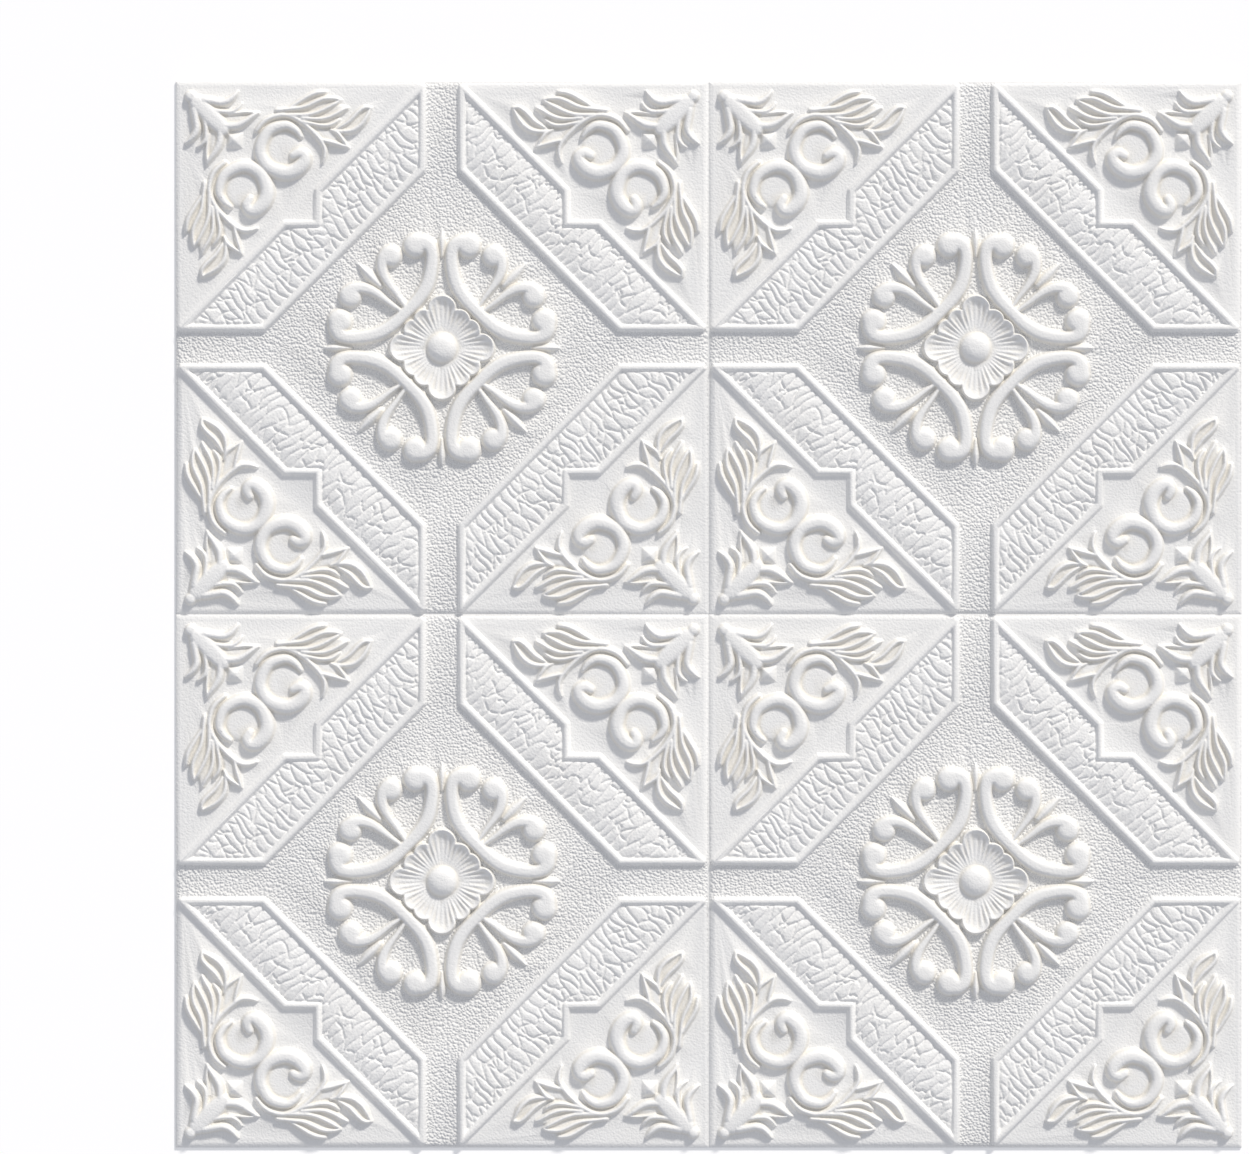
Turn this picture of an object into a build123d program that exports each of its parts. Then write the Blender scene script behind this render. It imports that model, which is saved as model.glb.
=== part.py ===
"""Embossed foam wall panel: one moulded sheet with a grid of framed tiles.

Millimetres, +Z out of the decorated face, back face on Z = 0, panel centred on the origin.
A quarter of one tile is modelled and mirrored into a tile, and the tile is laid out in a grid.
Round forms have few sides, because each of them repeats many times over the panel.
"""
import os
from math import copysign, cos, pi, radians, sin, sqrt, tan

from build123d import *

# Sheet, and the V-shaped seams that part the tiles and bevel the rim
PANEL_SIDE = 700.0
TILES_PER_SIDE = 2
SHEET_THICKNESS = 2.5
SEAM_WIDTH = 7.2
SEAM_DEPTH = 1.5

# Slope of the moulded walls, in degrees from upright, and the corners of a knob, in degrees from its bar
DRAFT = 20.0
KNOB_TURNS = (-60, 0, 60, 120)

# Frame of each tile: two ribs with a cambered band between them, crossing every corner
AISLE_WIDTH = 26.0
EDGE_MARGIN = 4.0
BAND_WIDTH = 38.5
BAND_CAMBER = 2.0
NOTCH_SIDE = 22.0
RIB_WIDTH = 5.4
RIB_CREST = 2.4
RIB_HEIGHT = 3.1

# C-scroll of a corner, swelling from its tail to a round end, placed from the tile's corner
SCROLL_CENTRE = (71.0, 45.0)
SCROLL_RADIUS = 15.4
SCROLL_TAIL_WIDTH = 4.6
SCROLL_WIDTH = 11.4
SCROLL_HEIGHT = 5.2
SCROLL_TAIL_ANGLE = -30.0
SCROLL_SWEEP = 310.0
SCROLL_SIDES = 7

# Leaves from the tile's corner: root, tip, width, and how far the midline bows to its left
LEAF_HEIGHT = 4.4
SPRAY_LEAVES = (
    ((74.0, 18.5), (98.8, 6.8), 6.5, -2.0),
    ((66.0, 19.5), (109.0, 12.4), 6.0, 0.5),
    ((72.0, 22.5), (113.5, 17.8), 9.0, 4.5),
    ((102.0, 34.0), (128.8, 17.4), 11.0, 2.3),
    ((86.0, 29.5), (114.2, 43.8), 11.0, 0.0),
    ((78.0, 22.5), (98.5, 51.0), 5.5, -3.2),
)
CALYX_LEAVES = (
    ((12.0, 12.0), (40.0, 7.6), 7.0, 3.8),
    ((20.0, 18.5), (43.0, 15.0), 5.0, 2.4),
    ((22.0, 26.5), (54.2, 22.4), 13.0, 0.4),
)
STEM_ROUTE = ((54.0, 33.0), (64.0, 23.0), (84.0, 27.0))
STEM_WIDTH = 5.2
STEM_SIDES = 2

# Calyx on the diagonal of the tile, swelling to a blunt end, measured from the tile's corner
CALYX_START = 9.0
CALYX_END = 57.0
CALYX_TAIL_WIDTH = 9.0
CALYX_WIDTH = 12.0
CALYX_HEIGHT = 4.8
CALYX_SIDES = 1

# Rosette: four bows with knobs, eight curls and a dished flower, placed from the tile's centre
BOW_WIDTH = 10.0
BOW_HEIGHT = 5.2
BOW_LEG = 6.5
BOW_LEG_END = 61.0
BOW_BELLY = 33.0
BOW_BEND = 40.0
BOW_SIDES = 10
BOW_KNOB = (17.4, 67.0)
BOW_KNOB_RADIUS = 8.8
CURL_START = (24.5, 27.5)
CURL_MIDDLE = (35.2, 42.5)
CURL_END = (39.8, 53.0)
CURL_TAIL_WIDTH = 4.4
CURL_WIDTH = 9.0
CURL_HEIGHT = 4.9
CURL_SIDES = 3
CURL_KNOB = (34.4, 59.9)
CURL_KNOB_RADIUS = 7.4
DIAGONAL_LEAF = ((38.0, 38.0), (54.6, 54.6), 7.5, 0.0)
AXIS_LEAF = ((0.0, 58.0), (0.0, 77.0), 6.5, 0.0)
PETAL_REACH = 34.0
PETAL_NECK = 27.0
PETAL_HALF_ANGLE = 20.0
SMALL_PETAL_REACH = 28.8
FLOWER_HEIGHT = 4.6
DISH_RADIUS = 24.0
DISH_DEPTH = 2.8
DISH_SLOPE = 75.0
BUTTON_RADIUS = 10.8
BUTTON_HEIGHT = 5.5
BUTTON_SLOPE = 35.0
FLOWER_SIDES = 8

# Places that follow from the sizes above
TILE_SIDE = PANEL_SIDE / TILES_PER_SIDE
HALF_TILE = TILE_SIDE / 2
HALF_AISLE = AISLE_WIDTH / 2
GROUND = Plane.XY.offset(SHEET_THICKNESS)
CORNER = Plane(origin=(HALF_TILE, HALF_TILE, SHEET_THICKNESS), x_dir=(-1, 0, 0), z_dir=(0, 0, 1))
DIAGONAL = Plane(origin=(0, 0, 0), z_dir=(1, -1, 0))
RIB_END = HALF_TILE - EDGE_MARGIN
INNER_REACH = (HALF_AISLE + RIB_END) / sqrt(2)
OUTER_REACH = INNER_REACH - BAND_WIDTH
BEND = OUTER_REACH * sqrt(2) - HALF_AISLE
NOTCH_MOUTH = (INNER_REACH * sqrt(2) + NOTCH_SIDE) / 2
NOTCH_CORNER = NOTCH_MOUTH - NOTCH_SIDE


def flat_faced(base, crest):
    """A closed form between a base outline and a crest, which may be a single point."""
    count = len(base)
    faces = [Face(Wire.make_polygon(base))]
    if len(crest) > 1:
        faces.append(Face(Wire.make_polygon(crest)))
    for here in range(count):
        after = (here + 1) % count
        wall = [base[here], base[after]]
        wall += [crest[after], crest[here]] if len(crest) > 1 else crest
        faces.append(Face(Wire.make_polygon(wall)))
    return Solid(Shell(faces))


def inset(outline, distance):
    """A closed outline moved inwards by one distance, with its corners kept sharp."""
    before = [*outline[-1:], *outline[:-1]]
    after = [*outline[1:], *outline[:1]]
    area = sum(a.X * b.Y - b.X * a.Y for a, b in zip(outline, after))
    inwards = copysign(90, area)
    moved = []
    for last, here, following in zip(before, outline, after):
        first_normal = (here - last).normalized().rotate(Axis.Z, inwards)
        second_normal = (following - here).normalized().rotate(Axis.Z, inwards)
        mitre = distance / (1 + first_normal.dot(second_normal))
        moved.append(here + (first_normal + second_normal) * mitre)
    return moved


def moulded(plane, outline, height, slope=DRAFT):
    """A raised form with sloping walls and a flat top on a closed outline."""
    top = inset(outline, height * tan(radians(slope)))
    base = [plane.from_local_coords(point) for point in outline]
    crest = [plane.from_local_coords(point + Vector(0, 0, height)) for point in top]
    return flat_faced(base, crest)


def polygon(centre, radius, sides):
    """The corners of a regular outline round a centre."""
    turn = 2 * pi / sides
    middle = Vector(*centre)
    return [middle + Vector(cos(turn * step), sin(turn * step)) * radius for step in range(sides)]


def leaf(plane, root, tip, width, bow):
    """A pointed leaf with a ridge on its midline, its broadest part moved aside by its bow."""
    root = Vector(*root)
    tip = Vector(*tip)
    across = (tip - root).normalized().rotate(Axis.Z, 90)
    middle = (root + tip) * 0.5 + across * bow
    rise = Vector(0, 0, LEAF_HEIGHT)
    near, far = [plane.from_local_coords((middle + end) * 0.5 + rise) for end in (root, tip)]
    root, right, tip, left = [
        plane.from_local_coords(point)
        for point in (root, middle - across * (width / 2), tip, middle + across * (width / 2))
    ]
    facets = [(root, right, near), (right, far, near), (right, tip, far)]
    facets += [(tip, left, far), (left, near, far), (left, root, near), (root, right, tip, left)]
    return Solid(Shell([Face(Wire.make_polygon(facet)) for facet in facets]))


def knob(route, end, radius):
    """Corners of a knob on one end of a route, 0 or 1, with most of them on the outside of its bend."""
    outwards = (route % end) * copysign(radius, end - 0.5)
    bend = (route % abs(end - 0.1)).cross(route % end).Z
    turns = sorted(turn * copysign(1, -bend) for turn in KNOB_TURNS)
    return [route @ end + outwards.rotate(Axis.Z, turn) for turn in turns]


def bar(plane, route, sides, widths, height, knobs=(0, 0)):
    """A bar along a curved route in straight steps, evenly tapered, with knobs of any given radius."""
    left = []
    right = []
    for step in range(sides + 1):
        share = step / sides
        width = widths[0] + (widths[1] - widths[0]) * share
        across = (route % share).rotate(Axis.Z, 90) * (width / 2)
        left.append(route @ share + across)
        right.append(route @ share - across)
    start = knob(route, 0, knobs[0]) if knobs[0] else [left[0], right[0]]
    end = knob(route, 1, knobs[1]) if knobs[1] else [right[-1], left[-1]]
    return moulded(plane, [*start, *right[1:-1], *end, *reversed(left[1:-1])], height)


def rib(points):
    """A rib with sloping sides along straight lines, mitred where they meet."""
    with BuildPart() as moulding:
        with BuildLine() as route:
            Polyline(*[(x, y, SHEET_THICKNESS) for x, y in points])
        start = route.wire() @ 0
        along = route.wire() % 0
        with BuildSketch(Plane(origin=start, x_dir=Vector(0, 0, 1).cross(along), z_dir=along)):
            with BuildLine():
                Polyline(
                    (-RIB_WIDTH / 2, 0),
                    (RIB_WIDTH / 2, 0),
                    (RIB_CREST / 2, RIB_HEIGHT),
                    (-RIB_CREST / 2, RIB_HEIGHT),
                    close=True,
                )
            make_face()
        sweep(transition=Transition.RIGHT)
    return moulding.part


def scroll():
    """A C-scroll that swells round a circle, from its tail to its round end."""
    with BuildLine() as route:
        CenterArc(SCROLL_CENTRE, SCROLL_RADIUS, SCROLL_TAIL_ANGLE, -SCROLL_SWEEP)
    widths = (SCROLL_TAIL_WIDTH, SCROLL_WIDTH)
    return bar(CORNER, route.wire(), SCROLL_SIDES, widths, SCROLL_HEIGHT, (0, SCROLL_WIDTH / 2))


def spray():
    """Leaves on a stem that leaves the scroll near its top."""
    with BuildLine() as stem:
        ThreePointArc(*STEM_ROUTE)
    leaves = [leaf(CORNER, *shape) for shape in SPRAY_LEAVES]
    return [bar(CORNER, stem.wire(), STEM_SIDES, (STEM_WIDTH, STEM_WIDTH), LEAF_HEIGHT), *leaves]


def calyx():
    """The bar on the tile's diagonal, with its blunt end."""
    start = CALYX_START / sqrt(2)
    end = CALYX_END / sqrt(2)
    with BuildLine() as route:
        Line((start, start), (end, end))
    widths = (CALYX_TAIL_WIDTH, CALYX_WIDTH)
    return bar(CORNER, route.wire(), CALYX_SIDES, widths, CALYX_HEIGHT)


def bow():
    """A bow across the tile's diagonal, with a knob on each end."""
    belly = BOW_BELLY / sqrt(2)
    bend = 2 * belly - BOW_LEG
    leg_ends = ((BOW_LEG, BOW_LEG_END), (BOW_LEG_END, BOW_LEG))
    with BuildLine() as route:
        FilletPolyline(leg_ends[0], (BOW_LEG, bend), (bend, BOW_LEG), leg_ends[1], radius=BOW_BEND)
        TangentArc(leg_ends[0], BOW_KNOB, tangent=(0, 1))
        TangentArc(leg_ends[1], BOW_KNOB[::-1], tangent=(1, 0))
    widths = (BOW_WIDTH, BOW_WIDTH)
    return bar(GROUND, route.wire(), BOW_SIDES, widths, BOW_HEIGHT, (BOW_KNOB_RADIUS, BOW_KNOB_RADIUS))


def curl():
    """A curl beside the bow, swelling to its knob."""
    with BuildLine() as route:
        stalk = ThreePointArc(CURL_START, CURL_MIDDLE, CURL_END)
        TangentArc(CURL_END, CURL_KNOB, tangent=stalk % 1)
    widths = (CURL_TAIL_WIDTH, CURL_WIDTH)
    return bar(GROUND, route.wire(), CURL_SIDES, widths, CURL_HEIGHT, (0, CURL_KNOB_RADIUS))


def flower():
    """A flower of four large petals and eight small ones, dished on top, with a button in its middle."""
    small = (45 - PETAL_HALF_ANGLE) / 2
    shoulder = PETAL_HALF_ANGLE / 2
    eighth = (
        (shoulder, PETAL_REACH),
        (PETAL_HALF_ANGLE, PETAL_NECK),
        (PETAL_HALF_ANGLE + small, SMALL_PETAL_REACH),
        (45, PETAL_NECK),
    )
    quarter_rim = [*eighth, *[(90 - angle, reach) for angle, reach in reversed(eighth[:-1])]]
    rim = [
        Vector(reach, 0).rotate(Axis.Z, angle + turn)
        for turn in (0, 90, 180, 270)
        for angle, reach in quarter_rim
    ]
    floor = GROUND.offset(FLOWER_HEIGHT - DISH_DEPTH)
    floor_radius = DISH_RADIUS - DISH_DEPTH * tan(radians(DISH_SLOPE))
    dish = moulded(floor, polygon((0, 0), floor_radius, FLOWER_SIDES), DISH_DEPTH, -DISH_SLOPE)
    button = moulded(GROUND, polygon((0, 0), BUTTON_RADIUS, FLOWER_SIDES), BUTTON_HEIGHT, BUTTON_SLOPE)
    with BuildPart() as bloom:
        add(moulded(GROUND, rim, FLOWER_HEIGHT))
        add(dish, mode=Mode.SUBTRACT)
        add(button)
    return bloom.part


def band():
    """The cambered band between the ribs, as an arched bar cut to the ribs' outline."""
    profile = Plane(origin=(0, 0, SHEET_THICKNESS), x_dir=(1, 1, 0), z_dir=(1, -1, 0))
    crown = ((INNER_REACH + OUTER_REACH) / 2, BAND_CAMBER)
    with BuildPart() as arch:
        with BuildSketch(profile):
            with BuildLine():
                ThreePointArc((OUTER_REACH, 0), crown, (INNER_REACH, 0))
                Line((INNER_REACH, 0), (OUTER_REACH, 0))
            make_face()
        extrude(amount=TILE_SIDE, both=True)
        with BuildSketch(GROUND):
            with BuildLine():
                Polyline(*OUTER_RIB[1:3], *reversed(INNER_RIB), close=True)
            make_face()
        extrude(amount=BAND_CAMBER, mode=Mode.INTERSECT)
    return arch.part


OUTER_RIB = ((HALF_AISLE, RIB_END), (HALF_AISLE, BEND), (BEND, HALF_AISLE), (RIB_END, HALF_AISLE))
INNER_RIB = (
    (HALF_AISLE, RIB_END),
    (NOTCH_CORNER, NOTCH_MOUTH),
    (NOTCH_CORNER, NOTCH_CORNER),
    (NOTCH_MOUTH, NOTCH_CORNER),
    (RIB_END, HALF_AISLE),
)

calyx_leaves = [leaf(CORNER, *shape) for shape in CALYX_LEAVES]
one_side = [scroll(), *spray(), *calyx_leaves, curl(), leaf(GROUND, *AXIS_LEAF)]
other_side = [form.mirror(DIAGONAL) for form in one_side]
frame = [band(), rib(OUTER_RIB), rib(INNER_RIB)]
on_diagonal = [calyx(), bow(), leaf(GROUND, *DIAGONAL_LEAF), flower(), *frame]

# One quarter of a tile
with BuildPart() as quarter:
    with BuildSketch():
        Rectangle(HALF_TILE, HALF_TILE, align=Align.MIN)
    extrude(amount=SHEET_THICKNESS)
    add([*one_side, *other_side, *on_diagonal])
    with BuildSketch():
        Rectangle(HALF_TILE, HALF_TILE, align=Align.MIN)
    extrude(amount=SHEET_THICKNESS + BUTTON_HEIGHT, mode=Mode.INTERSECT)

with BuildPart() as tile:
    add(quarter.part)
    mirror(about=Plane.YZ)
    mirror(about=Plane.XZ)

# The whole panel, with its seams cut along the tiles' edges
with BuildPart() as foam_panel:
    with GridLocations(TILE_SIDE, TILE_SIDE, TILES_PER_SIDE, TILES_PER_SIDE):
        add(tile.part)
    for across in (Plane.XZ, Plane.YZ):
        with BuildSketch(across):
            with GridLocations(TILE_SIDE, 1, TILES_PER_SIDE + 1, 1):
                with BuildLine():
                    Polyline(
                        (-SEAM_WIDTH / 2, SHEET_THICKNESS),
                        (0, SHEET_THICKNESS - SEAM_DEPTH),
                        (SEAM_WIDTH / 2, SHEET_THICKNESS),
                        close=True,
                    )
                make_face()
        extrude(amount=PANEL_SIDE, both=True, mode=Mode.SUBTRACT)

foam_panel.part.label = "foam_panel"
os.makedirs("parts", exist_ok=True)
export_step(foam_panel.part, "parts/foam_panel.step", write_pcurves=False)
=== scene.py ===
"""Embossed foam wall panel, laid out as an add-on: four moulded tiles and the stage they lie on.

The relief of a tile is a height over each point of a square grid, worked out in millimetres from the
middle of the tile. One eighth of the ornament is drawn, and mirrored about the axes and the diagonals.
"""
import math

import bpy
import numpy as np
from bpy.props import FloatProperty, FloatVectorProperty, IntProperty, PointerProperty
from bpy.types import NodeSocket, Operator, Panel, PropertyGroup
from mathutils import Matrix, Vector


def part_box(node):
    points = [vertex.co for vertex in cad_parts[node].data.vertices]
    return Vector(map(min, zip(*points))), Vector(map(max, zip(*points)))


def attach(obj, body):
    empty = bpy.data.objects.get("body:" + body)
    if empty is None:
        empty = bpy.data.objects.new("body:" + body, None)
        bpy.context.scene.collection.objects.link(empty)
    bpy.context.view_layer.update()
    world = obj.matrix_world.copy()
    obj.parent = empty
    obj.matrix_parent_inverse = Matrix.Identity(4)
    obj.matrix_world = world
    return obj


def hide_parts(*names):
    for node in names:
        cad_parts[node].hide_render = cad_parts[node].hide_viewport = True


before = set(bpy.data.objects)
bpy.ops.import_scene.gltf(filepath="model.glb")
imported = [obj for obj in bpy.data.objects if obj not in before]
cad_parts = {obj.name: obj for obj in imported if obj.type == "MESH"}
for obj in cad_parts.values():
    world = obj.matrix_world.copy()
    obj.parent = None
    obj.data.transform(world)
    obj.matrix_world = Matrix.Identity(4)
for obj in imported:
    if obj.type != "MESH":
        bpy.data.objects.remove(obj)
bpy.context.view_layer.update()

bl_info = {
    "name": "Embossed Foam Wall Panel",
    "version": (1, 0, 0),
    "blender": (4, 5, 0),
    "location": "View3D > Sidebar > Foam Panel",
    "description": "Moulds the relief tiles of a foam wall panel and lays them under soft studio light",
    "category": "Add Mesh",
}

PANEL_LOW, PANEL_HIGH = (Vector(corner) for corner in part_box("foam_panel"))
MM = 0.001

# Bars of the corner ornament, each row a point from the middle of the tile, a width and a height, in mm
SCROLL = (
    (92.4, 138.6, 3.6, 3.6), (96.2, 143.2, 6.0, 4.5), (103.0, 146.0, 7.6, 5.0), (113.6, 142.0, 9.2, 5.2),
    (119.0, 130.0, 10.0, 5.2), (114.6, 119.3, 10.8, 5.3), (104.0, 114.8, 11.6, 5.4),
    (96.2, 116.4, 11.8, 5.4), (90.8, 121.4, 11.2, 5.4), (89.8, 125.8, 9.0, 5.3),
    (93.4, 127.6, 9.4, 5.0), (97.4, 126.0, 7.6, 4.6),
)
SCROLL_EYE = (104.0, 130.4, 26.0, 1.7)
STEM = (
    (121.5, 142.5, 4.0, 3.6), (117.0, 147.8, 5.0, 4.2), (111.7, 151.0, 5.0, 4.3),
    (104.0, 152.6, 5.0, 4.3), (97.0, 150.8, 5.0, 4.3), (90.0, 146.6, 4.6, 4.2),
    (84.6, 141.8, 4.6, 4.2), (80.0, 136.6, 4.4, 4.1), (77.0, 131.2, 4.2, 4.0),
    (76.9, 126.0, 3.6, 3.6), (78.4, 121.2, 2.0, 2.6),
)
SPRAY_BLADES = (
    ((100.0, 156.5, 5.0, 2.0), (90.0, 161.0, 8.5, 2.0), (77.5, 166.8, 4.5, 1.8)),
    ((106.0, 154.5, 5.0, 2.0), (90.0, 157.0, 7.5, 2.0), (80.0, 160.0, 8.5, 2.0), (68.0, 162.5, 4.0, 1.8)),
    ((95.0, 152.0, 6.0, 2.0), (80.0, 153.5, 7.5, 2.0), (72.0, 156.5, 7.5, 2.0), (63.0, 157.0, 4.0, 1.8)),
    ((90.0, 149.0, 6.0, 2.0), (80.0, 148.0, 6.5, 2.0), (72.0, 148.0, 5.5, 2.0), (67.5, 150.0, 2.5, 1.8)),
    ((70.0, 142.5, 4.0, 2.0), (60.0, 144.5, 8.5, 2.0), (53.0, 149.0, 9.0, 2.0), (48.0, 156.0, 4.0, 1.8)),
    ((86.0, 145.0, 4.0, 2.0), (78.0, 139.5, 10.0, 2.0), (71.0, 137.6, 10.0, 2.0),
     (63.0, 132.3, 2.5, 1.8)),
)
SPRAY_RIMS = (
    ((99.0, 157.8, 3.4, 3.4), (92.0, 162.0, 4.4, 4.2), (87.0, 165.0, 4.8, 4.5), (82.0, 167.0, 4.8, 4.5),
     (76.6, 167.8, 3.4, 3.4)),
    ((108.0, 155.6, 4.2, 3.8), (98.0, 156.6, 4.2, 4.4), (92.0, 157.3, 4.4, 4.6), (87.0, 158.9, 4.8, 4.7),
     (82.0, 161.4, 5.0, 4.7), (77.0, 163.2, 4.6, 4.5), (71.0, 163.4, 3.6, 4.0), (66.6, 162.6, 2.4, 3.0)),
    ((100.0, 152.5, 5.0, 4.4), (90.0, 152.5, 4.8, 4.5), (85.0, 153.3, 4.6, 4.6), (80.0, 154.9, 4.6, 4.7),
     (75.0, 157.3, 4.6, 4.6), (70.0, 160.0, 3.8, 4.2), (67.0, 161.8, 2.4, 3.0)),
    ((92.0, 150.5, 4.4, 4.4), (85.0, 150.0, 4.2, 4.4), (80.0, 149.9, 4.2, 4.6), (75.0, 150.8, 4.4, 4.6),
     (70.0, 152.9, 4.4, 4.5), (66.0, 155.3, 4.0, 4.2), (62.0, 157.4, 2.6, 3.0)),
    ((92.0, 148.2, 4.6, 4.4), (85.0, 146.8, 4.2, 4.4), (80.0, 145.8, 4.0, 4.4), (75.0, 145.7, 4.0, 4.4),
     (71.0, 147.0, 3.6, 4.2), (67.6, 149.5, 2.2, 3.0)),
    ((68.0, 144.0, 2.8, 3.0), (64.0, 146.2, 4.0, 4.0), (60.0, 149.0, 4.6, 4.4), (57.0, 152.2, 4.8, 4.5),
     (54.0, 155.2, 4.6, 4.4), (50.5, 157.4, 4.0, 4.2), (46.6, 157.4, 2.6, 3.0)),
    ((70.0, 142.3, 3.0, 3.2), (64.0, 141.6, 4.4, 4.2), (58.0, 142.8, 5.2, 4.5), (53.0, 146.4, 5.0, 4.5),
     (49.6, 151.3, 4.2, 4.2), (47.0, 156.4, 2.4, 3.0)),
    ((73.0, 143.0, 2.6, 3.2), (68.4, 140.8, 4.0, 4.2), (65.4, 137.0, 3.8, 4.2), (62.0, 131.8, 2.4, 2.8)),
    ((81.0, 136.6, 3.6, 3.8), (74.0, 135.0, 4.4, 4.4), (68.0, 133.4, 4.0, 4.2), (61.4, 131.4, 2.2, 2.8)),
)
CALYX_FRONDS = (
    ((156.0, 162.4, 7.2, 4.8), (150.0, 161.4, 7.0, 4.8), (144.0, 160.6, 6.8, 4.8),
     (139.6, 162.2, 6.0, 4.7), (136.4, 165.0, 4.4, 4.2), (134.0, 168.2, 2.2, 2.8)),
    ((150.0, 155.8, 5.0, 4.4), (143.0, 154.6, 4.8, 4.4), (137.6, 154.8, 4.4, 4.2),
     (133.8, 157.0, 3.6, 3.8), (131.4, 160.4, 2.0, 2.6)),
    ((148.0, 149.5, 9.0, 2.2), (138.0, 149.4, 11.0, 2.2), (129.0, 150.4, 7.5, 2.2),
     (122.0, 152.8, 2.4, 1.8)),
    ((140.0, 152.6, 2.4, 3.2), (134.0, 153.8, 2.6, 3.6), (127.0, 154.4, 2.6, 3.6),
     (120.4, 153.8, 2.0, 2.8)),
    ((147.0, 146.4, 7.0, 4.8), (141.0, 145.4, 7.2, 4.8), (134.6, 145.8, 7.2, 4.8),
     (129.4, 148.2, 6.2, 4.6), (124.8, 151.4, 4.6, 4.2), (120.4, 154.2, 2.2, 2.8)),
)
CALYX_BODY = ((160.4, 160.4, 12.6, 4.7), (153.0, 153.0, 14.4, 5.1), (147.4, 147.4, 14.0, 5.1),
              (143.6, 143.6, 11.0, 4.8))
CALYX_KNOB = (164.8, 164.8, 8.6, 4.7)
CALYX_STUD = (136.2, 136.2, 11.0, 4.6)

# Bars of the rosette
BOW = (
    (23.3, 23.3, 9.6, 5.0), (16.6, 30.2, 10.0, 5.0), (11.4, 37.5, 10.4, 5.1), (8.3, 45.0, 10.4, 5.1),
    (6.6, 54.0, 10.0, 5.1), (6.4, 61.0, 10.0, 5.2), (8.2, 66.4, 11.0, 5.3), (12.6, 68.6, 13.0, 5.4),
    (17.2, 67.0, 16.0, 5.5),
)
BOW_KNOB = (17.4, 67.0, 17.6, 5.5)
CURL = (
    (24.5, 27.5, 3.6, 3.8), (29.4, 34.6, 4.6, 4.3), (33.8, 40.4, 5.8, 4.6), (37.2, 45.8, 7.2, 4.8),
    (39.0, 51.2, 8.2, 5.0), (39.0, 56.2, 9.2, 5.1), (37.2, 59.6, 11.0, 5.2), (34.2, 60.2, 13.0, 5.2),
)
CURL_KNOB = (33.8, 60.2, 16.4, 5.3)
DIAGONAL_LEAF = ((41.0, 41.0, 6.0, 3.4), (45.6, 45.6, 8.4, 4.2), (50.0, 50.0, 6.4, 3.8),
                 (55.0, 55.0, 1.4, 2.2))
AXIS_LEAF = ((0.0, 60.0, 3.0, 2.6), (0.0, 68.5, 6.6, 3.8), (0.0, 72.5, 5.2, 3.6), (0.0, 77.0, 1.4, 2.2))

# Powers by which a bar falls from its crest to its foot: low ones give ridges, high ones flat tops
RIDGED = 1.5
ROUNDED = 2.0
FULL = 2.2
BLUNT = 3.0
BROAD = 4.0
DOMED = 4.5
FLAT = 8.0

# Flower: angles from the nearest axis in degrees, radii, widths and heights in mm, flutes in a full turn,
# and the depths of flutes, folds and creases as shares of the dish's height
PETAL_EDGE = 20.0
LARGE_RIM, LARGE_SWELL, LARGE_FLUTES = 27.2, 7.6, 45
SMALL_PETAL_SPAN = 25.0
SMALL_RIM, SMALL_SWELL, SMALL_FLUTES = 26.6, 2.2, 43.2
DISH_START, DISH_FLOOR, DISH_RISE = 8.0, 0.2, 4.5
LIP_HEIGHT, LIP_WIDTH = 0.6, 0.9
FLUTE_DEPTH = 0.32
FOLD_DEPTH = 0.6
CREASE_DEPTH, CREASE_WIDTH = 0.35, 0.8
BUTTON_RADIUS = 10.8
BUTTON_HEIGHT = 5.5

# Lines that bound a crackled band, in mm: x + y on its long sides, x or y at its ends and at its notch,
# and the powers by which the band's barrel and the seam fall
BAND_OUTER = 130.0
BAND_INNER = 184.0
BAND_END = 13.0
BAND_NOTCH = 81.3
BAND_HALF_WIDTH = 19.1
BARREL_POWER = 2.6
SEAM_POWER = 1.8

# Corners of the two ribs that frame the band
OUTER_RIB = ((13.0, 170.6), (13.0, 117.0), (117.0, 13.0), (170.6, 13.0))
INNER_RIB = ((13.0, 170.6), (81.3, 103.0), (81.3, 81.3), (103.0, 81.3), (170.6, 13.0))

# Cracks: how far the cells are drawn out across the band, the power of their metric, their swell, and
# the places across the band of the two cracks along it, in mm
CELL_SQUEEZE = 0.36
CELL_POWER = 1.3
CELL_SWELL = 0.1
LONG_CRACKS = (12.5, 24.0)

# Share of the pebbled grain that is left on each ground, the radius of the flower's smooth floor, and the
# height from which a form counts, in mm
BAND_GRAIN = 0.2
FIELD_GRAIN = 0.16
RIB_GRAIN = 0.14
CARVED_GRAIN = 0.12
FLOWER_FLOOR = 26.0
FORM_START = 0.4

# Painted shade in the hollows and on the steep flanks of carved forms: rounds of smoothing that hollows
# are judged against, the depth in mm of a hollow that takes full shade, and the slope at which a flank
# starts to take shade and the further slope that makes it full
SHADE_ROUNDS = 24
FULL_SHADE_DEPTH = 0.8
STEEP_START, STEEP_SPAN = 0.5, 1.5

# Skin of the foam, in metres: pebbles, the wander that draws them out of round, foam cells and mottling
PEBBLE_SIZE, PEBBLE_DEPTH = 1.8 * MM, 1.05 * MM
WANDER_SIZE, WANDER_REACH = 6 * MM, 1.6 * MM
CELL_SIZE = 1.1 * MM
MOTTLE_SIZE = 40 * MM

# Stage, in metres: the floor, the lights with the way towards the key, and the view straight down
FLOOR_REACH = 6.0
FLOOR_DROP = 0.0003
FLOOR_GLOW = 0.2
KEY_TOWARD = Vector((0.47, 0.88, math.tan(math.radians(29))))
KEY_STRENGTH = 2.7
KEY_SPREAD = math.radians(7)
SKY_STRENGTH = 0.52
VIEW_MIDDLE = (-0.0553, 0.0246)
VIEW_WIDTH = 0.8193
VIEW_DISTANCE = 2.6
SENSOR_MM = 36.0


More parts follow.
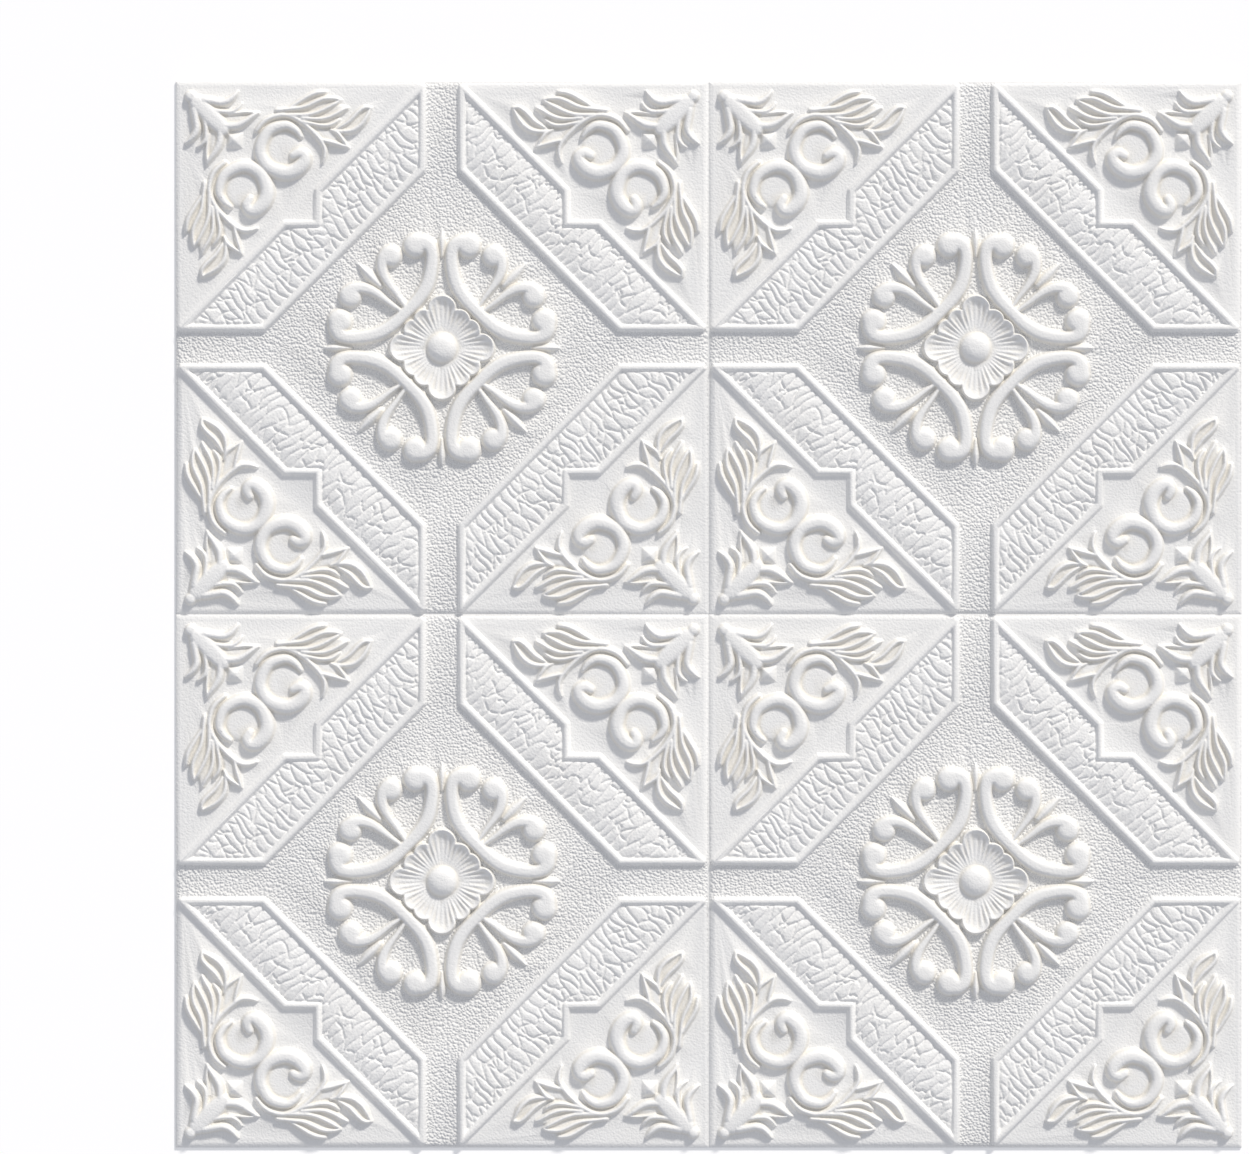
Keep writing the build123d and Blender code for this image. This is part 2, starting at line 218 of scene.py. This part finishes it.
def hex_linear(code):
    """Linear colour of an sRGB hex code: a short straight start, then a power of 2.4."""
    shades = [int(code[k:k + 2], 16) / 255 for k in (1, 3, 5)]
    return tuple(s / 12.92 if s <= 0.04045 else ((s + 0.055) / 1.055) ** 2.4 for s in shades)


class FoamPanelSizes(PropertyGroup):
    """Sizes of the sheet and its relief."""

    sheet: FloatProperty(
        name="Sheet", description="Thickness of the flat sheet under the relief",
        default=0.0025, unit="LENGTH", subtype="DISTANCE")
    seam_width: FloatProperty(
        name="Seam width", description="Width of the V-shaped seam between two tiles",
        default=0.0072, unit="LENGTH", subtype="DISTANCE")
    seam_depth: FloatProperty(
        name="Seam depth", description="Depth of that seam",
        default=0.0015, unit="LENGTH", subtype="DISTANCE")
    rib_width: FloatProperty(
        name="Rib width", description="Width of the ribs that frame the bands",
        default=0.0054, unit="LENGTH", subtype="DISTANCE")
    rib_height: FloatProperty(
        name="Rib height", description="Height of those ribs above the sheet",
        default=0.0031, unit="LENGTH", subtype="DISTANCE")
    band_camber: FloatProperty(
        name="Band camber", description="Rise of the crackled bands at their middle",
        default=0.0026, unit="LENGTH", subtype="DISTANCE")
    crack_spacing: FloatProperty(
        name="Crack spacing", description="Distance between the cracks along a band",
        default=0.0059, unit="LENGTH", subtype="DISTANCE")
    crack_width: FloatProperty(
        name="Crack width", description="Width of a crack",
        default=0.0011, unit="LENGTH", subtype="DISTANCE")
    crack_depth: FloatProperty(
        name="Crack depth", description="Depth of a crack",
        default=0.0017, unit="LENGTH", subtype="DISTANCE")
    grid: FloatProperty(
        name="Grid", description="Spacing of the points at which the relief is worked out",
        default=0.00046, unit="LENGTH", subtype="DISTANCE")
    triangles: IntProperty(
        name="Triangles", description="Triangles kept on the face of each tile",
        default=180000, min=1000)


class FoamPanelColours(PropertyGroup):
    """Colours of the foam, the floor and the light."""

    foam: FloatVectorProperty(
        name="Foam", description="Foam skin on the flat and on the crests",
        default=hex_linear("#F2F2F1"), subtype="COLOR", min=0, max=1)
    # painted shade: a darker, warmer foam colour laid in the hollows and on the steep flanks of the
    # carved forms, where shade falls
    painted_shade: FloatVectorProperty(
        name="Hollow", description="Foam skin where it is stretched over the flanks and into the hollows",
        default=hex_linear("#E7E3DA"), subtype="COLOR", min=0, max=1)
    floor: FloatVectorProperty(
        name="Floor", description="Pale studio floor",
        default=hex_linear("#F4F4F4"), subtype="COLOR", min=0, max=1)
    key: FloatVectorProperty(
        name="Key", description="Warm key light from the upper right",
        default=hex_linear("#FFFAF2"), subtype="COLOR", min=0, max=1)
    sky: FloatVectorProperty(
        name="Sky", description="Cool soft light from all round",
        default=hex_linear("#F2F5FF"), subtype="COLOR", min=0, max=1)


def eased(rows, steps=8):
    """A path through the rows.

    Each stretch is a cubic whose slope at either end is half the step between that row's neighbours.
    """
    p = np.asarray(rows, float)
    p = np.vstack([2 * p[0] - p[1], p, 2 * p[-1] - p[-2]])
    a, b, c, d = (p[k:len(p) - 3 + k, None] for k in range(4))
    t = np.linspace(0, 1, steps, endpoint=False)[None, :, None]
    curve = 0.5 * (2 * b + (c - a) * t + (2 * a - 5 * b + 4 * c - d) * t**2
                   + (3 * b - a - 3 * c + d) * t**3)
    return np.vstack([curve.reshape(-1, p.shape[1]), p[-2]])


def raise_bar(relief, line, path, roundness):
    """Raises a bar along a path of points, widths and heights.

    Across a stretch of the path the height is the crest's times one less a power, the roundness, of the
    distance from the path as a share of the half-width. Crest and half-width run evenly from one end of
    the stretch to the other, and the highest stretch counts.
    """
    path = np.asarray(path, float)
    reach = path[:, 2].max() / 2
    low = np.searchsorted(line, path[:, :2].min(axis=0) - reach)
    high = np.searchsorted(line, path[:, :2].max(axis=0) + reach)
    window = (slice(low[0], high[0]), slice(low[1], high[1]))
    x = line[window[0], None]
    y = line[None, window[1]]
    for (ax, ay, aw, ah), (bx, by, bw, bh) in zip(path[:-1], path[1:]):
        length = max((bx - ax) ** 2 + (by - ay) ** 2, 1e-9)
        t = np.clip(((x - ax) * (bx - ax) + (y - ay) * (by - ay)) / length, 0, 1)
        distance = np.hypot(x - ax - t * (bx - ax), y - ay - t * (by - ay))
        share = np.clip(2 * distance / (aw + t * (bw - aw)), 0, 1)
        relief[window] = np.maximum(relief[window], (ah + t * (bh - ah)) * (1 - share**roundness))


def raise_knob(relief, line, row):
    """Raises a blunt dome: a bar of no length, so the same fall runs all round its middle."""
    raise_bar(relief, line, [row, row], DOMED)


def raise_stud(relief, line, row):
    """Raises a square stud.

    Its height is the middle's times one less a power of the distance as a share of the half-width, and
    the distance is the larger of those along x and y.
    """
    x, y, width, height = row
    larger = np.maximum(np.abs(line[:, None] - x), np.abs(line[None, :] - y))
    np.maximum(relief, height * (1 - np.clip(2 * larger / width, 0, 1) ** RIDGED), out=relief)


def ornament(line):
    """Relief of the carved ornament over the first quadrant of a tile.

    The bars on one side of the diagonal are raised, the larger of the relief and its own transpose puts
    them on both sides, and the forms that stand on the diagonal or on the axes come last.
    """
    relief = np.zeros((len(line), len(line)))
    for blade in SPRAY_BLADES:
        raise_bar(relief, line, eased(blade), BROAD)
    for rim in SPRAY_RIMS:
        raise_bar(relief, line, eased(rim), ROUNDED)
    for frond in CALYX_FRONDS:
        raise_bar(relief, line, eased(frond), FULL)
    raise_bar(relief, line, eased(STEM), FULL)
    raise_bar(relief, line, [SCROLL_EYE, SCROLL_EYE], FLAT)
    raise_bar(relief, line, eased(SCROLL), BLUNT)
    raise_bar(relief, line, eased(CURL), BROAD)
    raise_knob(relief, line, CURL_KNOB)
    raise_bar(relief, line, eased(BOW), BROAD)
    raise_knob(relief, line, BOW_KNOB)
    raise_bar(relief, line, eased(AXIS_LEAF), RIDGED)
    relief = np.maximum(relief, relief.T)
    raise_bar(relief, line, eased(CALYX_BODY), BROAD)
    raise_knob(relief, line, CALYX_KNOB)
    raise_stud(relief, line, CALYX_STUD)
    raise_bar(relief, line, eased(DIAGONAL_LEAF), RIDGED)
    return np.maximum(relief, flower(line))


def flower(line):
    """Relief of the flower in the first quadrant, in polar form.

    Over a large petal the rim swells as the power 0.7 of one less the square of the angle, taken from the
    nearest axis as a share of the way to the petal's edge. Over a small petal it swells as the power 0.8
    of a half sine. The dish rises from the button to the rim as the power 1.15 of the way there, with a
    bell-shaped lip. Cosine flutes that fade outwards, a V-shaped fold down the middle of each petal and a
    bell-shaped crease between petals each take a share of that height. The button is a dome, which falls
    as the power 3 of the radius.
    """
    x = line[:, None]
    y = line[None, :]
    radius = np.hypot(x, y)
    angle = np.degrees(np.arctan2(y, x + 1e-9))
    angle = np.minimum(angle, 90 - angle)
    on_large = angle < PETAL_EDGE
    past = angle - PETAL_EDGE
    large = LARGE_RIM + LARGE_SWELL * np.clip(1 - (angle / PETAL_EDGE) ** 2, 0, 1) ** 0.7
    small = SMALL_RIM + SMALL_SWELL * np.sin(np.pi * np.clip(past / SMALL_PETAL_SPAN, 0, 1)) ** 0.8
    rim = np.where(on_large, large, small)
    share = np.clip(radius / rim, 0, 1)
    way = np.clip((radius - DISH_START) / (rim - DISH_START), 0, 1)
    dish = DISH_FLOOR + DISH_RISE * way**1.15
    dish += LIP_HEIGHT * np.exp(-(((1 - share) * rim - 1.0) / LIP_WIDTH) ** 2)
    flutes = np.cos(np.radians(angle * np.where(on_large, LARGE_FLUTES, SMALL_FLUTES)))
    dish *= 1 - FLUTE_DEPTH * np.clip((0.95 - share) / 0.25, 0, 1) * (1 - flutes)
    fold = np.where(on_large, 1 - angle / PETAL_EDGE, 0.6 - np.abs(past - SMALL_PETAL_SPAN / 2) / 20.8)
    dish *= 1 - FOLD_DEPTH * fold * np.clip((1 - share) / 0.18, 0, 1)
    gap = np.minimum(np.abs(past), np.abs(past - SMALL_PETAL_SPAN))
    dish *= 1 - CREASE_DEPTH * np.exp(-((gap * np.radians(radius) / CREASE_WIDTH) ** 2))
    edge = np.clip((rim + 0.5 - radius) / 1.2, 0, 1)
    button = BUTTON_HEIGHT * np.clip(1 - (radius / BUTTON_RADIUS) ** 3, 0, 1)
    return np.maximum(dish * edge * edge * (3 - 2 * edge), button)


def band_place(line):
    """Places on the crackled band of the first quadrant.

    Returns the way along the band, the way across it from its outer rib, and how far each point lies
    inside the middle lines of the ribs. The first two are the difference and the sum of x and y, over
    the root of two, and the last is the least of the distances to those lines.
    """
    x = line[:, None]
    y = line[None, :]
    along = (x - y) / math.sqrt(2)
    across = (x + y - BAND_OUTER) / math.sqrt(2)
    inner = (BAND_INNER - x - y) / math.sqrt(2)
    notch = np.maximum(BAND_NOTCH - x, BAND_NOTCH - y)
    inside = np.minimum(np.minimum(across, inner), np.minimum(np.minimum(x, y) - BAND_END, notch))
    return along, across, inside


def cell_lead(u, v, spacing, rng):
    """How much nearer the nearest seed is than the second nearest, along (u) and across (v) a band.

    Seeds stand in jittered rows along the band, every other row half a space on. A distance is the root
    of the sum of the powers of the ways along and across, the way across shortened first, so the cells
    round the seeds are blocky and lie across the band.
    """
    step = spacing / CELL_SQUEEZE
    su, sv = np.meshgrid(np.arange(-120, 121, spacing), np.arange(-step / 2, 60, step))
    su = su + spacing / 2 * (np.arange(len(su)) % 2)[:, None]
    jitter = rng.uniform(-0.42, 0.42, (2, su.size)) * [[1.0], [0.7]]
    nearest = np.full(u.shape, 1e9)
    second = np.full(u.shape, 1e9)
    for seed_u, seed_v in zip(su.ravel() + jitter[0] * spacing, sv.ravel() + jitter[1] * step):
        distance = np.abs(u - seed_u) ** CELL_POWER + np.abs((v - seed_v) * CELL_SQUEEZE) ** CELL_POWER
        distance = distance ** (1 / CELL_POWER)
        second = np.minimum(second, np.maximum(nearest, distance))
        nearest = np.minimum(nearest, distance)
    return second - nearest


def crackle(line, place, sizes, seed):
    """Cracked skin of one band: the depth of its cracks less the swell of the cells between them.

    A crack follows where two seeds are as near, and falls off as a bell with the distance from there.
    Its depth comes and goes along the band as a product of two slow sines. Two broken cracks run along
    the band on sums of two sines, open where a third sine is above -0.2.
    """
    along, across, inside = place
    rng = np.random.default_rng(seed)
    held = inside > 0
    u = along[held]
    v = across[held]
    # turns of the sines: four for the wander of the cells, two for the depth, two for the long cracks
    bend = rng.uniform(0, 2 * np.pi, 8)
    deep = np.ones(inside.shape)
    deep[held] = 0.85 + 0.35 * np.sin(u / 9.0 + bend[4]) * np.sin(v / 7.0 + bend[5])
    u = u + 0.5 * np.sin(v / 2.4 + bend[0]) + 1.2 * np.sin(v / 9.0 + u / 16.0 + bend[1])
    v = v + 0.6 * np.sin(u / 3.1 + bend[2]) + 1.0 * np.sin(u / 6.3 + bend[3])
    lead = np.zeros(inside.shape)
    lead[held] = cell_lead(u, v, sizes.crack_spacing / MM, rng)
    slope = np.hypot(*np.gradient(lead, line, line))
    off = lead / np.clip(slope, 0.35, None)
    width = 0.55 * sizes.crack_width / MM
    crack = deep * np.exp(-((off / width) ** 2))
    for middle, turn in zip(LONG_CRACKS, bend[6:]):
        way = middle + 2.4 * np.sin(along / 7.1 + turn) + 1.2 * np.sin(along / 2.7 + 2 * turn)
        opened = np.clip(0.2 + np.sin(along / 4.7 + 3 * turn), 0, 1)
        crack = np.maximum(crack, opened * np.exp(-(((across - way) / (1.2 * width)) ** 2)))
    swell = CELL_SWELL * (1 - np.exp(-off / 1.4))
    return np.clip((inside - 2.0) / 1.5, 0, 1) * (crack * sizes.crack_depth / MM - swell)


def soften(field, times):
    """Rounds off creases: each point becomes a 1-2-1 mean with its neighbours, along both axes."""
    for _ in range(times):
        field = np.pad(field, 1, mode="edge")
        field = (field[:-2] + 2 * field[1:-1] + field[2:]) / 4
        field = (field[:, :-2] + 2 * field[:, 1:-1] + field[:, 2:]) / 4
    return field


def tile_relief(sizes):
    """Height, grain and painted shade of a whole tile, with the points of its grid, in mm.

    Ribs are bars with straight stretches. The band between them is a barrel, the camber times one less a
    power of the distance from its middle line as a share of its half-width, less its cracks. Four
    quadrants are joined, each with cracks of its own. The seam sinks as a power of the way in from its
    border to the edge of the tile. The painted shade grows with how far a carved form lies under its own
    smoothed surface, and with how steep it is.
    """
    half = (PANEL_HIGH.x - PANEL_LOW.x) / 4 / MM
    line = np.linspace(0, half, round(half / (sizes.grid / MM)) + 1)
    ribs = np.zeros((len(line), len(line)))
    rib = (sizes.rib_width / MM, sizes.rib_height / MM)
    for corners in (OUTER_RIB, INNER_RIB):
        raise_bar(ribs, line, [(*corner, *rib) for corner in corners], BLUNT)
    carved = ornament(line)
    place = band_place(line)
    _, across, inside = place
    barrel = 1 - np.abs(np.clip(across / BAND_HALF_WIDTH - 1, -1, 1)) ** BARREL_POWER
    band = np.where(inside > 0, sizes.band_camber / MM * barrel * np.clip((inside - 1.6) / 2, 0, 1), 0)
    x = line[:, None]
    y = line[None, :]
    field = (x + y > BAND_INNER) | ((x > BAND_NOTCH) & (y > BAND_NOTCH))
    field &= np.minimum(x, y) > BAND_END
    grain = np.where(inside > 0, BAND_GRAIN, np.where(field, FIELD_GRAIN, 1.0))
    grain = np.where(ribs > FORM_START, RIB_GRAIN, grain)
    grain = np.where((carved > FORM_START) | (np.hypot(x, y) < FLOWER_FLOOR), CARVED_GRAIN, grain)
    count = len(line)
    height = np.zeros((2 * count - 1, 2 * count - 1))
    cover = np.zeros_like(height)
    ways = ((1, 1), (-1, 1), (-1, -1), (1, -1))
    for seed, (across_way, up_way) in enumerate(ways, start=11):
        skin = np.maximum(band - np.where(inside > 0, crackle(line, place, sizes, seed), 0), 0)
        quarter = (slice(count - 1, None, across_way), slice(count - 1, None, up_way))
        height[quarter] = np.maximum(np.maximum(ribs, skin), carved)
        cover[quarter] = grain
    whole = np.concatenate([-line[:0:-1], line])
    edge = half - np.maximum(np.abs(whole)[:, None], np.abs(whole)[None, :])
    sunk = np.clip(1 - edge / (sizes.seam_width / MM / 2), 0, 1) ** SEAM_POWER
    height -= sizes.seam_depth / MM * sunk
    height = soften(height, 1) + sizes.sheet / MM
    # painted shade: the hollows and steep flanks of the carved forms, where shade falls, get a mask for a
    # darker, warmer colour
    steep = np.hypot(*np.gradient(height, whole, whole))
    under = (soften(height, SHADE_ROUNDS) - height) / FULL_SHADE_DEPTH
    painted_shade = np.clip(under + (steep - STEEP_START) / STEEP_SPAN, 0, 1)
    painted_shade *= cover == CARVED_GRAIN
    return whole, height, soften(cover, 2), soften(painted_shade, 2)


def sampled(field, line, x, y):
    """Values of a grid field at points, by mixing the four grid points round each."""
    step = line[1] - line[0]
    i = np.clip((x - line[0]) / step, 0, len(line) - 1.001)
    j = np.clip((y - line[0]) / step, 0, len(line) - 1.001)
    i0 = i.astype(int)
    j0 = j.astype(int)
    i -= i0
    j -= j0
    low = field[i0, j0] * (1 - j) + field[i0, j0 + 1] * j
    high = field[i0 + 1, j0] * (1 - j) + field[i0 + 1, j0 + 1] * j
    return low * (1 - i) + high * i


def grid_mesh(name, line, height):
    """A sheet of squares over a square grid, in metres."""
    count = len(line)
    x, y = np.meshgrid(line, line, indexing="ij")
    points = np.stack([x, y, height], -1).reshape(-1, 3) * MM
    corner = (np.arange(count - 1)[:, None] * count + np.arange(count - 1)[None, :]).ravel()
    faces = np.stack([corner, corner + count, corner + count + 1, corner + 1], -1)
    mesh = bpy.data.meshes.new(name)
    mesh.vertices.add(len(points))
    mesh.vertices.foreach_set("co", points.astype(np.float32).ravel())
    mesh.loops.add(faces.size)
    mesh.loops.foreach_set("vertex_index", faces.astype(np.int32).ravel())
    mesh.polygons.add(len(faces))
    mesh.polygons.foreach_set("loop_start", np.arange(0, faces.size, 4, dtype=np.int32))
    mesh.update(calc_edges=True)
    return mesh


def thinned(mesh, triangles):
    """Points and triangles of the mesh, with small faces kept only where the relief needs them."""
    body = bpy.data.objects.new("thinning", mesh)
    bpy.context.scene.collection.objects.link(body)
    cut = body.modifiers.new("thin", "DECIMATE")
    cut.ratio = min(1.0, triangles / (2 * len(mesh.polygons)))
    view = bpy.context.evaluated_depsgraph_get()
    thin = bpy.data.meshes.new_from_object(body.evaluated_get(view))
    bpy.data.objects.remove(body)
    bpy.data.meshes.remove(mesh)
    thin.calc_loop_triangles()
    points = np.empty(3 * len(thin.vertices), np.float32)
    thin.vertices.foreach_get("co", points)
    faces = np.empty(3 * len(thin.loop_triangles), np.int32)
    thin.loop_triangles.foreach_get("vertices", faces)
    bpy.data.meshes.remove(thin)
    return points.reshape(-1, 3).astype(float), faces.reshape(-1, 3)


def closed_tile(points, faces):
    """Adds the walls and the back to the face of a tile.

    The rim is every edge that only one triangle uses, in order of its angle about the middle of the
    tile. Its points are repeated on the floor, and the back is one face on those.
    """
    edges = np.concatenate([faces[:, [0, 1]], faces[:, [1, 2]], faces[:, [2, 0]]])
    kinds, count = np.unique(np.sort(edges, axis=1), axis=0, return_counts=True)
    rim = np.unique(kinds[count == 1])
    rim = rim[np.argsort(np.arctan2(points[rim, 1], points[rim, 0]))]
    foot = len(points) + np.arange(len(rim))
    after = np.roll(np.arange(len(rim)), -1)
    walls = np.stack([rim[after], rim, foot, foot[after]], -1)
    points = np.vstack([points, points[rim] * [1, 1, 0]])
    return points, walls, foot[::-1]


def add_node(tree, kind, inputs=None, **settings):
    """Adds a node, sets its properties, and gives its inputs their values or links."""
    node = tree.nodes.new(kind)
    for name, value in settings.items():
        setattr(node, name, value)
    for key, value in (inputs or {}).items():
        if isinstance(value, NodeSocket):
            tree.links.new(value, node.inputs[key])
        else:
            node.inputs[key].default_value = value
    return node


def foam_material(colours):
    """Cross-linked polyethylene foam, hot-pressed in an embossing die.

    The skin is matt with a faint sheen. The die leaves a pebbled grain on the flats, and the foam that
    it stretches over the ornament comes out nearly smooth. A painted shade darkens and warms the colour
    in the hollows and on the steep flanks of the carved forms.
    """
    material = bpy.data.materials.new("pressed_white_foam")
    material.use_nodes = True
    tree = material.node_tree
    tree.nodes.clear()
    place = add_node(tree, "ShaderNodeTexCoord").outputs["Object"]
    grain = add_node(tree, "ShaderNodeAttribute", attribute_name="grain").outputs["Fac"]
    # painted shade: mask for the darker, warmer colour in the hollows and on the flanks of the carved
    # forms
    painted_shade = add_node(tree, "ShaderNodeAttribute", attribute_name="painted_shade").outputs["Fac"]
    # pebbles in the plane of the sheet, drawn out of round by a slow wander
    wander = add_node(tree, "ShaderNodeTexNoise", {"Vector": place, "Scale": 1 / WANDER_SIZE,
                                                   "Detail": 1.0})
    pull = add_node(tree, "ShaderNodeVectorMath", {0: wander.outputs["Color"], 1: (WANDER_REACH,) * 3},
                    operation="MULTIPLY")
    pulled = add_node(tree, "ShaderNodeVectorMath", {0: place, 1: pull.outputs[0]}, operation="ADD")
    pebble = add_node(tree, "ShaderNodeTexVoronoi", {"Vector": pulled.outputs[0],
                                                     "Scale": 1 / PEBBLE_SIZE, "Smoothness": 0.5},
                      feature="SMOOTH_F1", voronoi_dimensions="2D")
    # foam cells
    fine = add_node(tree, "ShaderNodeTexNoise", {"Vector": place, "Scale": 1 / CELL_SIZE,
                                                 "Detail": 2.0})
    dent = add_node(tree, "ShaderNodeMath", {0: pebble.outputs["Distance"], 1: grain},
                    operation="MULTIPLY")
    faint = add_node(tree, "ShaderNodeMath", {0: fine.outputs["Fac"], 1: 0.25}, operation="MULTIPLY")
    skin = add_node(tree, "ShaderNodeMath", {0: faint.outputs[0], 1: dent.outputs[0]},
                    operation="SUBTRACT")
    bump = add_node(tree, "ShaderNodeBump", {"Height": skin.outputs[0], "Strength": 1.0,
                                             "Distance": PEBBLE_DEPTH})
    # slow mottling of the pressed skin
    mottle = add_node(tree, "ShaderNodeTexNoise", {"Vector": place, "Scale": 1 / MOTTLE_SIZE,
                                                   "Detail": 3.0})
    shade = add_node(tree, "ShaderNodeMapRange", {"Value": mottle.outputs["Fac"], "From Min": 0.35,
                                                  "From Max": 0.75, "To Min": 0.0, "To Max": 0.10})
    # painted shade in the hollows and on the flanks, added to the random mottling, pulls the foam colour
    # towards the painted shade colour
    depth = add_node(tree, "ShaderNodeMath", {0: painted_shade, 1: shade.outputs[0]}, operation="ADD",
                     use_clamp=True)
    tint = add_node(tree, "ShaderNodeMix", {"Factor": depth.outputs[0], 6: (*colours.foam, 1),
                                            7: (*colours.painted_shade, 1)}, data_type="RGBA")
    rough = add_node(tree, "ShaderNodeMapRange", {"Value": fine.outputs["Fac"], "To Min": 0.56,
                                                  "To Max": 0.70})
    shader = add_node(tree, "ShaderNodeBsdfPrincipled", {
        "Base Color": tint.outputs[2], "Roughness": rough.outputs[0], "IOR": 1.45,
        "Normal": bump.outputs[0]})
    add_node(tree, "ShaderNodeOutputMaterial", {"Surface": shader.outputs[0]})
    return material


class FOAMPANEL_OT_tiles(Operator):
    """Mould the four embossed tiles of the panel"""

    bl_idname = "foampanel.tiles"
    bl_label = "Mould Tiles"

    def execute(self, context):
        sizes = context.scene.foam_panel_sizes
        line, height, grain, painted_shade = tile_relief(sizes)
        points, faces = thinned(grid_mesh("relief", line, height), sizes.triangles)
        x, y = points[:, 0] / MM, points[:, 1] / MM
        # grain sets the pebbled bump, and the painted shade mask sets the darker colour in hollows and on
        # flanks
        masks = {"grain": sampled(grain, line, x, y), "painted_shade": sampled(painted_shade, line, x, y)}
        points, walls, back = closed_tile(points, faces)
        material = foam_material(context.scene.foam_panel_colours)
        quarter = (PANEL_HIGH.x - PANEL_LOW.x) / 4
        middle = (PANEL_LOW + PANEL_HIGH) / 2
        places = {"left_top": (-1, 1), "right_top": (1, 1),
                  "left_bottom": (-1, -1), "right_bottom": (1, -1)}
        for name, (side, end) in places.items():
            moved = points + [middle.x + side * quarter, middle.y + end * quarter, PANEL_LOW.z]
            mesh = bpy.data.meshes.new(f"tile_{name}")
            mesh.from_pydata(moved.tolist(), [], [*faces.tolist(), *walls.tolist(), back.tolist()])
            mesh.polygons.foreach_set("use_smooth", [*[True] * len(faces), *[False] * (len(walls) + 1)])
            for mask, values in masks.items():
                layer = mesh.attributes.new(mask, "FLOAT", "POINT")
                layer.data.foreach_set("value", np.pad(values, (0, len(back))).astype(np.float32))
            mesh.materials.append(material)
            mesh.update()
            tile = bpy.data.objects.new(f"tile_{name}", mesh)
            context.scene.collection.objects.link(tile)
            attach(tile, "root")
            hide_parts("foam_panel")
        return {"FINISHED"}


def seen_directly(tree):
    """A socket that is 1 for rays from the camera, and for those off a gloss or through a clear body."""
    path = add_node(tree, "ShaderNodeLightPath")
    seen = path.outputs["Is Camera Ray"]
    for kind in ("Is Glossy Ray", "Is Transmission Ray"):
        either = add_node(tree, "ShaderNodeMath", {0: seen, 1: path.outputs[kind]}, operation="MAXIMUM")
        seen = either.outputs[0]
    return seen


def floor_material(colours):
    """Painted studio floor, matt and plain.

    The camera sees it a little lighter, as an overlit backdrop, and it keeps the shadow of the panel.
    """
    material = bpy.data.materials.new("matt_painted_floor")
    material.use_nodes = True
    tree = material.node_tree
    tree.nodes.clear()
    paint = add_node(tree, "ShaderNodeBsdfDiffuse", {"Color": (*colours.floor, 1)})
    glow = add_node(tree, "ShaderNodeEmission", {"Color": (1, 1, 1, 1), "Strength": FLOOR_GLOW})
    both = add_node(tree, "ShaderNodeAddShader", {0: paint.outputs[0], 1: glow.outputs[0]})
    mixed = add_node(tree, "ShaderNodeMixShader", {0: seen_directly(tree), 1: paint.outputs[0],
                                                   2: both.outputs[0]})
    add_node(tree, "ShaderNodeOutputMaterial", {"Surface": mixed.outputs[0]})
    return material


class FOAMPANEL_OT_stage(Operator):
    """Lay the floor, hang the light and aim the camera straight down"""

    bl_idname = "foampanel.stage"
    bl_label = "Set Stage"

    def execute(self, context):
        scene = context.scene
        colours = scene.foam_panel_colours
        mesh = bpy.data.meshes.new("floor")
        corners = [(x * FLOOR_REACH, y * FLOOR_REACH, -FLOOR_DROP)
                   for x, y in ((-1, -1), (1, -1), (1, 1), (-1, 1))]
        mesh.from_pydata(corners, [], [(0, 1, 2, 3)])
        mesh.materials.append(floor_material(colours))
        floor = bpy.data.objects.new("floor", mesh)
        scene.collection.objects.link(floor)

        sun = bpy.data.lights.new("key", "SUN")
        sun.energy = KEY_STRENGTH
        sun.angle = KEY_SPREAD
        sun.color = colours.key
        key = bpy.data.objects.new("key", sun)
        key.rotation_euler = KEY_TOWARD.to_track_quat("Z", "Y").to_euler()
        scene.collection.objects.link(key)

        world = bpy.data.worlds.new("studio")
        scene.world = world
        world.use_nodes = True
        tree = world.node_tree
        tree.nodes.clear()
        soft = add_node(tree, "ShaderNodeBackground", {"Color": (*colours.sky, 1),
                                                       "Strength": SKY_STRENGTH})
        white = add_node(tree, "ShaderNodeBackground", {"Color": (1, 1, 1, 1), "Strength": 1.0})
        mixed = add_node(tree, "ShaderNodeMixShader", {0: seen_directly(tree), 1: soft.outputs[0],
                                                       2: white.outputs[0]})
        add_node(tree, "ShaderNodeOutputWorld", {"Surface": mixed.outputs[0]})

        lens = bpy.data.cameras.new("camera")
        camera = bpy.data.objects.new("camera", lens)
        lens.sensor_width = SENSOR_MM
        lens.lens = SENSOR_MM * VIEW_DISTANCE / VIEW_WIDTH
        camera.location = (*VIEW_MIDDLE, VIEW_DISTANCE + (PANEL_LOW.z + PANEL_HIGH.z) / 2)
        scene.collection.objects.link(camera)
        scene.camera = camera
        scene.view_settings.view_transform = "Standard"
        return {"FINISHED"}


class FOAMPANEL_PT_sidebar(Panel):
    """Sidebar tab with the steps and the sizes"""

    bl_idname = "FOAMPANEL_PT_sidebar"
    bl_label = "Foam Panel"
    bl_space_type = "VIEW_3D"
    bl_region_type = "UI"
    bl_category = "Foam Panel"

    def draw(self, context):
        layout = self.layout
        for group in (context.scene.foam_panel_sizes, context.scene.foam_panel_colours):
            for name in group.__annotations__:
                layout.prop(group, name)
        layout.operator(FOAMPANEL_OT_tiles.bl_idname)
        layout.operator(FOAMPANEL_OT_stage.bl_idname)


CLASSES = (FoamPanelSizes, FoamPanelColours, FOAMPANEL_OT_tiles, FOAMPANEL_OT_stage, FOAMPANEL_PT_sidebar)


def register():
    for kind in CLASSES:
        bpy.utils.register_class(kind)
    bpy.types.Scene.foam_panel_sizes = PointerProperty(type=FoamPanelSizes)
    bpy.types.Scene.foam_panel_colours = PointerProperty(type=FoamPanelColours)


def unregister():
    del bpy.types.Scene.foam_panel_colours
    del bpy.types.Scene.foam_panel_sizes
    for kind in reversed(CLASSES):
        bpy.utils.unregister_class(kind)


def main():
    register()
    bpy.ops.foampanel.tiles()
    bpy.ops.foampanel.stage()


if __name__ == "__main__":
    main()
